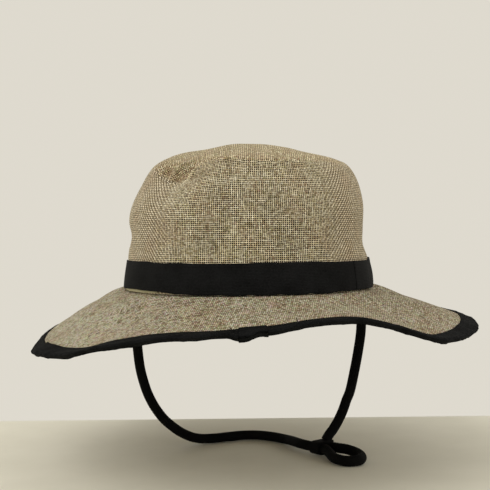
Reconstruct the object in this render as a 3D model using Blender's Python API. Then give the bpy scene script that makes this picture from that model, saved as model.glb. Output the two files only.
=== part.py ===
"""Bush hat: a blocked linen crown and brim, a black ribbon, a bound edge and a chin cord.

Metres, +Z up. The origin is the middle of the head opening, in the plane of the seam
that joins crown and brim. X runs from ear to ear, and -Y is the near side.
"""

import math
from collections import namedtuple

import bmesh
import bpy
from mathutils import Matrix, Vector

# Driving sizes, in metres.
HEAD_WIDTH = 0.167  # clear width inside the crown, ear to ear
HEAD_LENGTH = 0.199  # clear length inside the crown
CROWN_HEIGHT = 0.098  # seam to the middle of the tip
CROWN_WALL = 0.0015  # linen and its stiffening
FRONT_FALL = 0.0055  # how much lower the tip's near edge lies than its sides
BRIM_WIDTH = 0.0755  # seam to edge, along the cloth
BRIM_WALL = 0.0010
WELT_HEIGHT = 0.005  # turned-up seam allowance behind the ribbon
WELT_WALL = 0.0010
BAND_HEIGHT = 0.0188
BAND_WALL = 0.0010
BAND_SEAT = 0.0007  # the ribbon's lower edge over the seam
BAND_RISE = 0.0014  # how far that edge rides up at the left, over the welt
BAND_RISE_TURN = -145.0  # degrees from +X to the middle of that stretch
BAND_RISE_SPREAD = 28.0  # degrees
BINDING_WIDTH = 0.0095  # tape on each face of the brim
BINDING_WALL = 0.0010
GAP = 0.0003  # between pieces that touch
CORD_DIAMETER = 0.0066
TAB_WIDTH = 0.012
TAB_HEIGHT = 0.012
TAB_FOOT = 0.0015  # over the seam
TAB_EASE = 0.0012  # its rounded edges
KEEPER_LENGTH = 0.009
KEEPER_WALL = 0.0010
KEEPER_EASE = 0.0008  # its rounded edges
KEEPER_CLEARANCE = 0.00045  # round the strand that runs through
KEEPER_TILT = -50.0  # degrees from +X to the way that the slack loop points

SEGMENTS = 60  # round the head
CROWN_RINGS = 21
BRIM_RINGS = 5  # from the seam to the tape
CORD_STEP = 1.3  # diameters between the points of a cord's tube
FINE_PARTS = 20  # short steps between two points of a cord's route
BORE_SIDES = 16
SHARP_ANGLE = 40.0  # degrees

# The crown from the seam up: height as a share of CROWN_HEIGHT, reach to each side as
# a share of the half width or half length, and the oval's squareness (2 is an ellipse).
Section = namedtuple("Section", "height left right front back square")
CROWN_SECTIONS = (
    Section(0.000, 1.000, 1.000, 1.000, 1.000, 2.00),
    Section(0.104, 0.995, 0.995, 0.988, 0.988, 2.02),
    Section(0.187, 0.985, 0.985, 0.975, 0.975, 2.05),
    Section(0.244, 0.990, 0.972, 0.970, 0.975, 2.08),
    Section(0.365, 0.962, 0.942, 0.957, 0.965, 2.12),
    Section(0.485, 0.978, 0.950, 0.950, 0.962, 2.16),
    Section(0.580, 0.958, 0.955, 0.938, 0.955, 2.18),
    Section(0.663, 0.914, 0.937, 0.918, 0.938, 2.20),
    Section(0.755, 0.855, 0.906, 0.888, 0.908, 2.20),
    Section(0.838, 0.796, 0.858, 0.850, 0.866, 2.20),
    Section(0.888, 0.735, 0.798, 0.808, 0.815, 2.18),
    Section(0.928, 0.640, 0.675, 0.725, 0.725, 2.15),
    Section(0.955, 0.525, 0.525, 0.600, 0.600, 2.12),
    Section(0.976, 0.375, 0.380, 0.430, 0.430, 2.10),
    Section(0.992, 0.200, 0.205, 0.230, 0.230, 2.05),
    Section(1.000, 0.000, 0.000, 0.000, 0.000, 2.00),
)

# Dents (minus) and lifts (plus) of the crown. The middle is a share of half width, half
# length and CROWN_HEIGHT, the spreads are shares of the half width, and the push along
# the cloth's normal is a share of CROWN_HEIGHT.
Dent = namedtuple("Dent", "name side fore up spread_side spread_fore spread_up push")
CROWN_DENTS = (
    Dent("corner pinch", -0.50, -0.72, 0.83, 0.20, 0.30, 0.17, -0.085),
    Dent("pinch's ridge", -0.30, -0.84, 0.83, 0.12, 0.20, 0.15, 0.020),
    Dent("pinch's lobe", -0.70, -0.20, 0.87, 0.16, 0.40, 0.14, 0.012),
    Dent("tip's lift", 0.06, 0.02, 1.00, 0.27, 0.45, 0.40, 0.042),
    Dent("tip's hollow", 0.08, -0.38, 0.96, 0.10, 0.16, 0.30, -0.026),
    Dent("right hollow", 0.45, -0.10, 0.95, 0.16, 0.45, 0.25, -0.014),
)

# The brim's edge by turn from +X: how far it hangs under the seam, as a share of
# BRIM_WIDTH, and its droop: above 0 the cloth falls late, under 0 it flattens outwards.
Edge = namedtuple("Edge", "turn drop droop")
BRIM_EDGE = (
    Edge(-180, 0.510, 0.60),
    Edge(-168, 0.525, 0.50),
    Edge(-157, 0.495, 0.15),
    Edge(-147, 0.466, -0.15),
    Edge(-137, 0.437, -0.32),
    Edge(-127, 0.388, -0.60),
    Edge(-119, 0.327, -0.30),
    Edge(-110, 0.270, -0.20),
    Edge(-100, 0.222, -0.50),
    Edge(-91, 0.200, -0.55),
    Edge(-82, 0.153, -0.95),
    Edge(-74, 0.129, -0.90),
    Edge(-66, 0.162, -0.45),
    Edge(-57, 0.251, -0.05),
    Edge(-48, 0.328, -0.30),
    Edge(-40, 0.353, -0.45),
    Edge(-30, 0.358, -0.20),
    Edge(-18, 0.340, 0.05),
    Edge(-5, 0.312, 0.15),
    Edge(10, 0.288, 0.10),
    Edge(45, 0.288, 0.00),
    Edge(90, 0.290, 0.05),
    Edge(130, 0.326, 0.20),
    Edge(152, 0.368, 0.40),
    Edge(166, 0.440, 0.55),
)

# The cord's route, by hand: down from the left tab, along the ground behind, through the
# keeper and round in the slack loop; then down from the right tab to the keeper's top.
LEFT_ROUTE = (
    (-0.0788, 0.0000, 0.0012),
    (-0.0797, 0.0000, -0.0130),
    (-0.0799, 0.0002, -0.0290),
    (-0.0790, 0.0008, -0.0434),
    (-0.0773, 0.0018, -0.0577),
    (-0.0737, 0.0032, -0.0716),
    (-0.0699, 0.0055, -0.0812),
    (-0.0659, 0.0080, -0.0885),
    (-0.0618, 0.0105, -0.0944),
    (-0.0578, 0.0135, -0.0989),
    (-0.0538, 0.0165, -0.1028),
    (-0.0496, 0.0190, -0.1061),
    (-0.0454, 0.0215, -0.1087),
    (-0.0412, 0.0240, -0.1107),
    (-0.0350, 0.0270, -0.1122),
    (-0.0260, 0.0310, -0.1127),
    (-0.0160, 0.0360, -0.1127),
    (-0.0050, 0.0405, -0.1127),
    (0.0070, 0.0400, -0.1127),
    (0.0180, 0.0330, -0.1127),
    (0.0264, 0.0228, -0.1125),
    (0.0312, 0.0110, -0.1115),
    (0.0362, -0.0012, -0.1108),
    (0.0429, -0.0094, -0.1108),
    (0.0471, -0.0144, -0.1108),
    (0.0513, -0.0194, -0.1108),
    (0.0538, -0.0275, -0.1116),
    (0.0562, -0.0382, -0.1127),
    (0.0630, -0.0472, -0.1127),
    (0.0710, -0.0462, -0.1127),
    (0.0744, -0.0376, -0.1126),
    (0.0727, -0.0284, -0.1118),
    (0.0666, -0.0216, -0.1107),
    (0.0600, -0.0172, -0.1104),
    (0.0566, -0.0131, -0.1106),
)
RIGHT_ROUTE = (
    (0.0788, 0.0000, 0.0012),
    (0.0797, 0.0000, -0.0130),
    (0.0793, 0.0000, -0.0309),
    (0.0772, -0.0003, -0.0451),
    (0.0744, -0.0008, -0.0591),
    (0.0711, -0.0018, -0.0730),
    (0.0682, -0.0028, -0.0799),
    (0.0656, -0.0038, -0.0867),
    (0.0622, -0.0051, -0.0935),
    (0.0583, -0.0066, -0.0996),
    (0.0563, -0.0075, -0.1018),
    (0.0550, -0.0081, -0.1035),
)
LEFT_AT_KEEPER = 24  # the left route's point in the keeper's middle

LINEN = ("linen", (0.32, 0.27, 0.18), 0.92)
LINEN_EDGE = ("linen_edge", (0.50, 0.40, 0.26), 0.92)
RIBBON = ("ribbon", (0.010, 0.010, 0.011), 0.70)
TAPE = ("tape", (0.012, 0.012, 0.014), 0.62)
CORD = ("cord", (0.008, 0.008, 0.009), 0.80)

HALF_WIDTH = HEAD_WIDTH / 2 + CROWN_WALL
HALF_LENGTH = HEAD_LENGTH / 2 + CROWN_WALL


def clear_scene():
    for obj in list(bpy.data.objects):
        bpy.data.objects.remove(obj, do_unlink=True)


def finish(obj, look):
    """Gives the object its material, and shades it smooth up to a sharp crease."""
    name, colour, roughness = look
    material = bpy.data.materials.get(name) or bpy.data.materials.new(name)
    material.use_nodes = True
    shader = material.node_tree.nodes["Principled BSDF"]
    shader.inputs["Base Color"].default_value = (*colour, 1.0)
    shader.inputs["Roughness"].default_value = roughness
    shader.inputs["Metallic"].default_value = 0.0
    obj.data.materials.append(material)
    if obj.type == "MESH":
        obj.data.shade_smooth()
        obj.data.set_sharp_from_angle(angle=math.radians(SHARP_ANGLE))
    return obj


def new_object(name, fill, look):
    """Makes a named object from a bmesh that the function fill makes."""
    mesh = bpy.data.meshes.new(name)
    work = bmesh.new()
    fill(work)
    bmesh.ops.recalc_face_normals(work, faces=work.faces)
    work.to_mesh(mesh)
    work.free()
    obj = bpy.data.objects.new(name, mesh)
    bpy.context.scene.collection.objects.link(obj)
    return finish(obj, look)


def cubic(before, start, end, after, share):
    """A smooth curve through start and end, with its neighbours' slopes (Catmull-Rom)."""
    slope_in = (end - before) / 2
    slope_out = (after - start) / 2
    bend = 2 * (start - end) + slope_in + slope_out
    sag = 3 * (end - start) - 2 * slope_in - slope_out
    return start + share * (slope_in + share * (sag + share * bend))


def section_at(level):
    """The crown's section at a level from 0, the seam, to 1, the tip."""
    place = level * (len(CROWN_SECTIONS) - 1)
    low = min(int(place), len(CROWN_SECTIONS) - 2)
    rows = [
        CROWN_SECTIONS[min(max(low + step, 0), len(CROWN_SECTIONS) - 1)] for step in (-1, 0, 1, 2)
    ]
    return Section(*(cubic(*values, place - low) for values in zip(*rows)))


def oval(turn, left, right, front, back, square):
    """A point of an oval with its own reach to each side."""
    across = math.copysign(abs(math.cos(turn)) ** (2 / square), math.cos(turn))
    along = math.copysign(abs(math.sin(turn)) ** (2 / square), math.sin(turn))
    return Vector(
        (across * (right if across > 0 else left), along * (back if along > 0 else front), 0.0)
    )


def smooth_crown(turn, level):
    """The crown's outer face before its dents."""
    row = section_at(level)
    point = oval(
        turn,
        row.left * HALF_WIDTH,
        row.right * HALF_WIDTH,
        row.front * HALF_LENGTH,
        row.back * HALF_LENGTH,
        row.square,
    )
    nearness = max(0.0, -point.y / HALF_LENGTH)
    point.z = row.height * (CROWN_HEIGHT - FRONT_FALL * nearness**2 * min(1.0, row.height**2))
    return point


def crown_normal(turn, level):
    """The outward normal of the smooth crown, from two short steps on it."""
    step = 0.01
    level = min(max(level, 2 * step), 1 - 2 * step)
    along = smooth_crown(turn + step, level) - smooth_crown(turn - step, level)
    upward = smooth_crown(turn, level + step) - smooth_crown(turn, level - step)
    return along.cross(upward).normalized()


def crown_point(turn, level):
    """The crown's outer face, dents and lifts included."""
    point = smooth_crown(turn, level)
    push = 0.0
    for dent in CROWN_DENTS:
        away = Vector(
            (
                (point.x - dent.side * HALF_WIDTH) / (dent.spread_side * HALF_WIDTH),
                (point.y - dent.fore * HALF_LENGTH) / (dent.spread_fore * HALF_WIDTH),
                (point.z - dent.up * CROWN_HEIGHT) / (dent.spread_up * HALF_WIDTH),
            )
        )
        push += dent.push * CROWN_HEIGHT * math.exp(-away.length_squared / 2)
    return point + push * crown_normal(turn, level)


def level_of(height):
    """The level at which the smooth crown's side has this height over the seam."""
    low, high = 0.0, 1.0
    for _ in range(30):
        middle = (low + high) / 2
        if section_at(middle).height * CROWN_HEIGHT < height:
            low = middle
        else:
            high = middle
    return (low + high) / 2


def edge_at(turn):
    """The brim's row at a turn in degrees, by a smooth curve round the table."""
    count = len(BRIM_EDGE)
    turn = (turn - BRIM_EDGE[0].turn) % 360 + BRIM_EDGE[0].turn
    low = max(i for i in range(count) if BRIM_EDGE[i].turn <= turn)
    rows = [BRIM_EDGE[(low + step) % count] for step in (-1, 0, 1, 2)]
    span = (rows[2].turn - rows[1].turn) % 360
    share = (turn - rows[1].turn) / span
    return Edge(turn, *(cubic(*values, share) for values in list(zip(*rows))[1:]))


def seam_point(turn):
    """The crown's outer face where it meets the brim."""
    return oval(turn, HALF_WIDTH, HALF_WIDTH, HALF_LENGTH, HALF_LENGTH, 2.0)


def outward(turn):
    """The level way out from the seam, square to it."""
    return Vector((math.cos(turn) * HALF_LENGTH, math.sin(turn) * HALF_WIDTH, 0.0)).normalized()


def brim_point(turn, share, lift=0.0):
    """The brim's upper face from 0, the seam, to 1, the edge, raised by lift off the cloth."""
    seam = seam_point(turn)
    row = edge_at(math.degrees(turn))
    drop = row.drop * BRIM_WIDTH
    reach = math.sqrt(BRIM_WIDTH**2 - drop**2)
    out = outward(turn)
    fall = drop * (share * (1 - row.droop) + row.droop * share * share)
    slope = drop * (1 - row.droop + 2 * row.droop * share) / reach
    up = (Vector((0, 0, 1)) + out * slope).normalized()
    return seam + out * reach * share - Vector((0, 0, fall)) + up * lift


def turns():
    return [2 * math.pi * i / SEGMENTS for i in range(SEGMENTS)]


def sweep_round(work, section):
    """Joins one closed section after the other round the head into a ring-shaped body.

    Each four-sided patch is split from its near corner outwards, so that the faces of
    two pieces that lie on each other bend alike.
    """
    loops = [[work.verts.new(point) for point in section(turn)] for turn in turns()]
    for loop, following in zip(loops, loops[1:] + loops[:1]):
        for i in range(len(loop)):
            j = (i + 1) % len(loop)
            near, far = sorted((i, j), key=lambda k: loop[k].co.xy.length)
            work.faces.new((loop[near], following[near], following[far]))
            work.faces.new((loop[near], following[far], loop[far]))


def make_crown(work):
    """The outer skin, ring by ring up to the pole of the tip. Solidify gives the wall."""
    levels = [i / CROWN_RINGS for i in range(CROWN_RINGS)]
    rings = [[work.verts.new(crown_point(turn, level)) for turn in turns()] for level in levels]
    for vert in rings[0]:
        vert.co.z = GAP
    for ring, following in zip(rings, rings[1:]):
        for i in range(SEGMENTS):
            j = (i + 1) % SEGMENTS
            work.faces.new((ring[i], ring[j], following[j], following[i]))
    pole = work.verts.new(crown_point(0.0, 1.0))
    for i in range(SEGMENTS):
        work.faces.new((rings[-1][i], rings[-1][(i + 1) % SEGMENTS], pole))


def crown():
    obj = new_object("crown", make_crown, LINEN)
    wall = obj.modifiers.new("wall", "SOLIDIFY")
    wall.thickness = CROWN_WALL
    wall.offset = -1
    return obj


def brim_shares():
    """Where the brim's rings lie: evenly up to the tape, then two for the tape."""
    near = 1 - BINDING_WIDTH / BRIM_WIDTH
    return [near * i / BRIM_RINGS for i in range(BRIM_RINGS + 1)] + [(1 + near) / 2, 1.0]


def brim_section(turn):
    """Level under the crown's wall, then along the upper face and back along the lower."""
    out = outward(turn)
    inner = seam_point(turn) - out * CROWN_WALL
    upper = [inner] + [brim_point(turn, share) for share in brim_shares()]
    lower = [brim_point(turn, share, -BRIM_WALL) for share in reversed(brim_shares())]
    return upper + lower + [inner - Vector((0, 0, BRIM_WALL))]


def binding_section(turn):
    """Tape folded round the edge: its outer face, then its inner face."""
    near, middle, edge = brim_shares()[-3:]
    edge_out = (brim_point(turn, edge) - brim_point(turn, middle)).normalized()
    face = GAP + BINDING_WALL
    fold = edge_out * face
    shell = [brim_point(turn, share, face) for share in (near, middle, edge)]
    shell.append(brim_point(turn, edge, face / 3) + fold)
    shell.append(brim_point(turn, edge, -BRIM_WALL - face / 3) + fold)
    shell += [brim_point(turn, share, -BRIM_WALL - face) for share in (edge, middle, near)]
    lining = [brim_point(turn, share, -BRIM_WALL - GAP) for share in (near, middle)]
    lining.append(brim_point(turn, edge, -BRIM_WALL - GAP) + edge_out * GAP)
    lining.append(brim_point(turn, edge, GAP) + edge_out * GAP)
    lining += [brim_point(turn, share, GAP) for share in (middle, near)]
    return shell + lining


def wall_point(turn, height, stand_off):
    """A point that stands off the crown's outer face at a height over the seam."""
    point = smooth_crown(turn, level_of(height))
    point.z = height
    return point + outward(turn) * stand_off


def welt_section(turn):
    """The seam allowance, turned up flat against the crown."""
    inner = GAP
    outer = GAP + WELT_WALL
    return [
        wall_point(turn, GAP, outer),
        wall_point(turn, WELT_HEIGHT, outer),
        wall_point(turn, WELT_HEIGHT, inner),
        wall_point(turn, GAP, inner),
    ]


def band_foot(turn):
    """The ribbon's lower edge, which rides up over the welt at the left of the near side."""
    away = (math.degrees(turn) - BAND_RISE_TURN + 180) % 360 - 180
    return BAND_SEAT + BAND_RISE * math.exp(-((away / BAND_RISE_SPREAD) ** 2))


def band_section(turn):
    """The ribbon: over the welt at its foot, and close to the crown above."""
    over_welt = 2 * GAP + WELT_WALL
    top = BAND_SEAT + BAND_HEIGHT
    levels = (
        (band_foot(turn), over_welt),
        (WELT_HEIGHT + GAP, over_welt),
        ((WELT_HEIGHT + top) / 2, (over_welt + GAP) / 2),
        (top, GAP),
    )
    outer = [wall_point(turn, height, stand_off + BAND_WALL) for height, stand_off in levels]
    inner = [wall_point(turn, height, stand_off) for height, stand_off in reversed(levels)]
    return outer + inner


def smooth_route(points, step):
    """Points about one step apart on a smooth curve through the route's own points."""
    route = [Vector(point) for point in points]
    route = [2 * route[0] - route[1]] + route + [2 * route[-1] - route[-2]]
    fine = []
    for i in range(1, len(route) - 2):
        for part in range(FINE_PARTS):
            share = part / FINE_PARTS
            fine.append(cubic(route[i - 1], route[i], route[i + 1], route[i + 2], share))
    fine.append(route[-2])
    length = sum((b - a).length for a, b in zip(fine, fine[1:]))
    count = round(length / step)
    picked = [fine[0]]
    walked = 0.0
    for a, b in zip(fine, fine[1:]):
        walked += (b - a).length
        if walked >= length * len(picked) / count and len(picked) < count:
            picked.append(b)
    return picked + [fine[-1]]


def cord(name, route):
    """A round cord along its route, as a curve with filled ends."""
    curve = bpy.data.curves.new(name, "CURVE")
    curve.dimensions = "3D"
    curve.bevel_depth = CORD_DIAMETER / 2
    curve.bevel_resolution = 2
    curve.use_fill_caps = True
    points = smooth_route(route, CORD_STEP * CORD_DIAMETER)
    spline = curve.splines.new("POLY")
    spline.points.add(len(points) - 1)
    for slot, point in zip(spline.points, points):
        slot.co = (*point, 1.0)
    obj = bpy.data.objects.new(name, curve)
    bpy.context.scene.collection.objects.link(obj)
    return finish(obj, CORD)


def fill_box(work, size, ease):
    """A box round the origin with rounded edges."""
    bmesh.ops.create_cube(work, size=1.0, matrix=Matrix.Diagonal((*size, 1.0)))
    bmesh.ops.bevel(
        work, geom=work.edges[:], offset=ease, segments=2, profile=0.5, affect="EDGES"
    )


def cord_tab(name, side):
    """A sewn tab against the crown's inner face, with the cord's end at its foot."""
    depth = CORD_DIAMETER + 2 * GAP
    top = section_at(level_of(TAB_FOOT + TAB_HEIGHT))
    reach = (top.right if side > 0 else top.left) * HALF_WIDTH - CROWN_WALL - 2 * GAP
    size = (depth, TAB_WIDTH, TAB_HEIGHT)
    obj = new_object(name, lambda work: fill_box(work, size, TAB_EASE), TAPE)
    obj.location = (side * (reach - depth / 2), 0.0, TAB_FOOT + TAB_HEIGHT / 2)
    return obj


def bore_cutter(radius):
    """A round cutter along X, longer than the keeper."""

    def fill(work):
        along_x = Matrix.Rotation(math.pi / 2, 4, "Y")
        bmesh.ops.create_cone(
            work,
            cap_ends=True,
            segments=BORE_SIDES,
            radius1=radius,
            radius2=radius,
            depth=3 * KEEPER_LENGTH,
            matrix=along_x,
        )

    obj = new_object("keeper_cutter", fill, CORD)
    obj.hide_render = True
    obj.display_type = "WIRE"
    return obj


def cord_keeper():
    """A short block over both strands of the slack loop, bored for the one that runs through."""
    bore = CORD_DIAMETER + 2 * KEEPER_CLEARANCE
    middle = Vector(LEFT_ROUTE[LEFT_AT_KEEPER])
    turn = Matrix.Rotation(math.radians(KEEPER_TILT), 4, "Z")
    beside = Vector((0, CORD_DIAMETER / 2, 0))
    height = bore + 2 * KEEPER_WALL
    size = (KEEPER_LENGTH, height + CORD_DIAMETER, height)
    obj = new_object("cord_keeper", lambda work: fill_box(work, size, KEEPER_EASE), CORD)
    obj.matrix_world = Matrix.Translation(middle + turn @ beside) @ turn
    cutter = bore_cutter(bore / 2)
    cutter.matrix_world = Matrix.Translation(middle) @ turn
    cut = obj.modifiers.new("strand", "BOOLEAN")
    cut.object = cutter
    return obj


def build():
    clear_scene()
    crown()
    new_object("brim", lambda work: sweep_round(work, brim_section), LINEN)
    new_object("seam_welt", lambda work: sweep_round(work, welt_section), LINEN_EDGE)
    new_object("hat_band", lambda work: sweep_round(work, band_section), RIBBON)
    new_object("brim_binding", lambda work: sweep_round(work, binding_section), TAPE)
    cord("chin_cord_left", LEFT_ROUTE)
    cord("chin_cord_right", RIGHT_ROUTE)
    cord_tab("cord_tab_left", -1)
    cord_tab("cord_tab_right", 1)
    cord_keeper()


build()
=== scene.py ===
# %% [markdown]
# A bush hat of coarse linen
#
# The real hat is a few layers of cloth: an oval tip and a side wall of open linen for the crown, a
# flat ring of the same cloth for the brim, a black ribbon over the seam between them, a folded black
# tape round the edge, and a braided chin cord. This lesson dresses a plain model of those pieces,
# whose sizes are fixed. Each plain piece is replaced by a finer one that lies in the same place.

# %% Load the frame
import heapq
import math

import bmesh
import bpy
from mathutils import Matrix, Vector
from mathutils.kdtree import KDTree


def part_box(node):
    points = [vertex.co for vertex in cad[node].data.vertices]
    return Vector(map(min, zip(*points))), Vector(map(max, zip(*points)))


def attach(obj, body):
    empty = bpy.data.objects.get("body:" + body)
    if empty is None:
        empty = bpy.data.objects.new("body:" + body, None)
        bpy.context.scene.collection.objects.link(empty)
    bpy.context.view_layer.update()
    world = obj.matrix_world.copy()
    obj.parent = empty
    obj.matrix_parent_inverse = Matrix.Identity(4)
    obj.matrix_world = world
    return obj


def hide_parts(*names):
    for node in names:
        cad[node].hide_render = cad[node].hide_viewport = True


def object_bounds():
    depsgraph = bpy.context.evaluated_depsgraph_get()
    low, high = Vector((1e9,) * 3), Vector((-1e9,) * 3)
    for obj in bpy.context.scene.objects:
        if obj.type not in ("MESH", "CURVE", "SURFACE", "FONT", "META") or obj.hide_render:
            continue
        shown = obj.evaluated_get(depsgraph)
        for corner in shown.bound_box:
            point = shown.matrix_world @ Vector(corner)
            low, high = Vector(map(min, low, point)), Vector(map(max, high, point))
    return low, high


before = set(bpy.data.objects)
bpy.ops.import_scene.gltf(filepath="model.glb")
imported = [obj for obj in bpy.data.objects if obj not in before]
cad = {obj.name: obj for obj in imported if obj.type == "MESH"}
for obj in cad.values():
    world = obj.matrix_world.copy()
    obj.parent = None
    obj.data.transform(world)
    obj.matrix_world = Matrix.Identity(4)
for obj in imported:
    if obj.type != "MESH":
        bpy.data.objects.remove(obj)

cad_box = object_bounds()
print("solids:", ", ".join(sorted(cad)))
print("box in mm:", [[round(1000 * x) for x in corner] for corner in cad_box])

# %% [markdown]
# The camera
#
# The photograph was taken level with the middle of the crown, from about 0.7 m. A lens is often
# given in millimetres, but it is easier to match a picture in pixels: a focal length of 960 pixels
# means that a thing 1 m away and 1 m wide would be 960 pixels wide. The picture leans a little, and
# its optical axis lies a few pixels off its middle, which is the camera's shift.

# %% Place the camera
FRAME_PIXELS = 490
FOCAL_PIXELS = 960
AXIS_PIXEL = (248, 241)
EYE = Vector((0.0, -0.68, 0.033))
LEAN = math.radians(0.63)

bpy.ops.object.camera_add(location=EYE, rotation=(math.pi / 2, LEAN, 0.0))
camera = bpy.context.object
camera.data.sensor_width = 36.0
camera.data.lens = camera.data.sensor_width * FOCAL_PIXELS / FRAME_PIXELS
camera.data.shift_x = (FRAME_PIXELS / 2 - AXIS_PIXEL[0]) / FRAME_PIXELS
camera.data.shift_y = (AXIS_PIXEL[1] - FRAME_PIXELS / 2) / FRAME_PIXELS
camera.data.clip_start = 0.01
bpy.context.scene.camera = camera
print("lens", round(camera.data.lens, 1), "mm")

# %% [markdown]
# The chin cord
#
# A chin cord is limp, so it hangs straight down from where it is sewn in, and its slack loop lies on
# the floor. Its route is a short list of given points, with a smooth curve through them. A bevelled
# curve would give a plain round tube. This cord is braided, so a tube is made ring by ring instead,
# and each point is pushed in a little where one strand dives under the next. The right strand's last
# point lies inside the keeper, as the real strand goes in there.

# %% The cord's route
CORD_DIAMETER = 0.0070
LEFT_ROUTE = (
    (-0.0788, 0.0000, 0.0012),
    (-0.0797, 0.0000, -0.0130),
    (-0.0799, 0.0002, -0.0290),
    (-0.0790, 0.0008, -0.0434),
    (-0.0773, 0.0018, -0.0577),
    (-0.0737, 0.0032, -0.0716),
    (-0.0699, 0.0055, -0.0812),
    (-0.0659, 0.0080, -0.0885),
    (-0.0618, 0.0105, -0.0944),
    (-0.0578, 0.0135, -0.0989),
    (-0.0538, 0.0165, -0.1028),
    (-0.0496, 0.0190, -0.1061),
    (-0.0454, 0.0215, -0.1087),
    (-0.0412, 0.0240, -0.1107),
    (-0.0350, 0.0270, -0.1122),
    (-0.0260, 0.0310, -0.1127),
    (-0.0160, 0.0360, -0.1127),
    (-0.0050, 0.0405, -0.1127),
    (0.0070, 0.0400, -0.1127),
    (0.0180, 0.0330, -0.1127),
    (0.0264, 0.0228, -0.1125),
    (0.0312, 0.0110, -0.1115),
    (0.0362, -0.0012, -0.1108),
    (0.0429, -0.0094, -0.1108),
    (0.0471, -0.0144, -0.1108),
    (0.0513, -0.0194, -0.1108),
    (0.0538, -0.0275, -0.1116),
    (0.0562, -0.0382, -0.1127),
    (0.0630, -0.0472, -0.1127),
    (0.0710, -0.0462, -0.1127),
    (0.0744, -0.0376, -0.1126),
    (0.0727, -0.0284, -0.1118),
    (0.0666, -0.0216, -0.1107),
    (0.0600, -0.0172, -0.1104),
    (0.0566, -0.0131, -0.1106),
)
RIGHT_ROUTE = (
    (0.0788, 0.0000, 0.0012),
    (0.0797, 0.0000, -0.0130),
    (0.0793, 0.0000, -0.0309),
    (0.0772, -0.0003, -0.0451),
    (0.0744, -0.0008, -0.0591),
    (0.0711, -0.0018, -0.0730),
    (0.0682, -0.0028, -0.0799),
    (0.0656, -0.0038, -0.0867),
    (0.0622, -0.0051, -0.0935),
    (0.0583, -0.0066, -0.0996),
    (0.0563, -0.0075, -0.1018),
    (0.0550, -0.0081, -0.1035),
)
INTO_KEEPER = (0.0528, -0.0091, -0.1068)
ROUTE_STEP = 0.0005


def between(before, start, end, after, share):
    """A point of the smooth curve from start to end that heeds their neighbours."""
    slope_in = (end - before) / 2
    slope_out = (after - start) / 2
    bend = 2 * (start - end) + slope_in + slope_out
    sag = 3 * (end - start) - 2 * slope_in - slope_out
    return start + share * (slope_in + share * (sag + share * bend))


def smooth_line(points, parts=40):
    """A smooth curve through a few points, as a list of many."""
    route = [Vector(point) for point in points]
    route = [2 * route[0] - route[1]] + route + [2 * route[-1] - route[-2]]
    line = [
        between(*route[i - 1 : i + 3], part / parts)
        for i in range(1, len(route) - 2)
        for part in range(parts)
    ]
    return line + [route[-2]]


def even_line(line, step):
    """Points one step apart along a line, and the line's length."""
    length = sum((b - a).length for a, b in zip(line, line[1:]))
    count = round(length / step)
    even, walked = [line[0]], 0.0
    for a, b in zip(line, line[1:]):
        stretch = (b - a).length
        while len(even) < count and walked + stretch >= length * len(even) / count:
            even.append(a.lerp(b, (length * len(even) / count - walked) / stretch))
        walked += stretch
    return even + [line[-1]], length


# %% Braid a tube along a route
STRANDS = 10
BRAID_PITCH = 0.0125
BRAID_DEPTH = 0.00028
EDGE_DIP = 0.75
DIVE_DIP = 0.45
SIDES = 50


def braid_dip(turn, along):
    """How deep the braid's face lies at a place: 0 on top of a strand, 1 between strands."""
    right_hand = STRANDS * (turn / math.tau + along / BRAID_PITCH / 2)
    left_hand = STRANDS * (turn / math.tau - along / BRAID_PITCH / 2)
    over = (math.floor(right_hand) + math.floor(left_hand)) % 2
    across = right_hand if over else left_hand
    under = left_hand if over else right_hand
    round_off = (2 * (across % 1) - 1) ** 2
    dive = (2 * (under % 1) - 1) ** 4
    return min(1.0, EDGE_DIP * round_off + DIVE_DIP * dive)


def add_mesh(name, points, faces):
    """A new object with this mesh, at the origin."""
    mesh = bpy.data.meshes.new(name)
    mesh.from_pydata(points, [], faces)
    obj = bpy.data.objects.new(name, mesh)
    bpy.context.collection.objects.link(obj)
    return obj


def braided_tube(name, route):
    """A closed tube with a braided face, and a UV map round it and along it, in metres."""
    line, length = even_line(smooth_line(route), ROUTE_STEP)
    side = Vector((0, 1, 0))
    points, faces, places = [], [], []
    for i, point in enumerate(line):
        ahead = (line[min(i + 1, len(line) - 1)] - line[max(i - 1, 0)]).normalized()
        side = (side - ahead * side.dot(ahead)).normalized()
        other = ahead.cross(side)
        for k in range(SIDES):
            turn = math.tau * k / SIDES
            radius = CORD_DIAMETER / 2 - BRAID_DEPTH * braid_dip(turn, i * ROUTE_STEP)
            points.append(point + radius * (math.cos(turn) * side + math.sin(turn) * other))
            places.append((turn * CORD_DIAMETER / 2, i * ROUTE_STEP))
    for i in range(len(line) - 1):
        for k in range(SIDES):
            a, b = i * SIDES + k, i * SIDES + (k + 1) % SIDES
            faces.append((a, b, b + SIDES, a + SIDES))
    faces.append(tuple(reversed(range(SIDES))))
    faces.append(tuple(range(len(points) - SIDES, len(points))))
    tube = add_mesh(name, points, faces)
    uv = tube.data.uv_layers.new(name="UVMap")
    for loop in tube.data.loops:
        uv.data[loop.index].uv = places[loop.vertex_index]
    tube.data.shade_smooth()
    print(name, round(length, 4), "m,", len(faces), "faces")
    return tube, line, length


cord_left, left_line, left_length = braided_tube("braided_cord_left", LEFT_ROUTE)
cord_right, right_line, right_length = braided_tube(
    "braided_cord_right", (*RIGHT_ROUTE, INTO_KEEPER)
)

# %% [markdown]
# Cloth from the plain solids
#
# The plain crown and brim are closed shells with an inner and an outer face. Cloth is easier to
# shape as one sheet: so a copy of the shell is merged into quads, only its outer face is kept, it is
# subdivided and shaped, and at the very end a Solidify modifier gives it back its thickness. Drawing
# the sheet anew and wrapping it on would do as well, but a copy is sure to lie where the solid lies.

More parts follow.
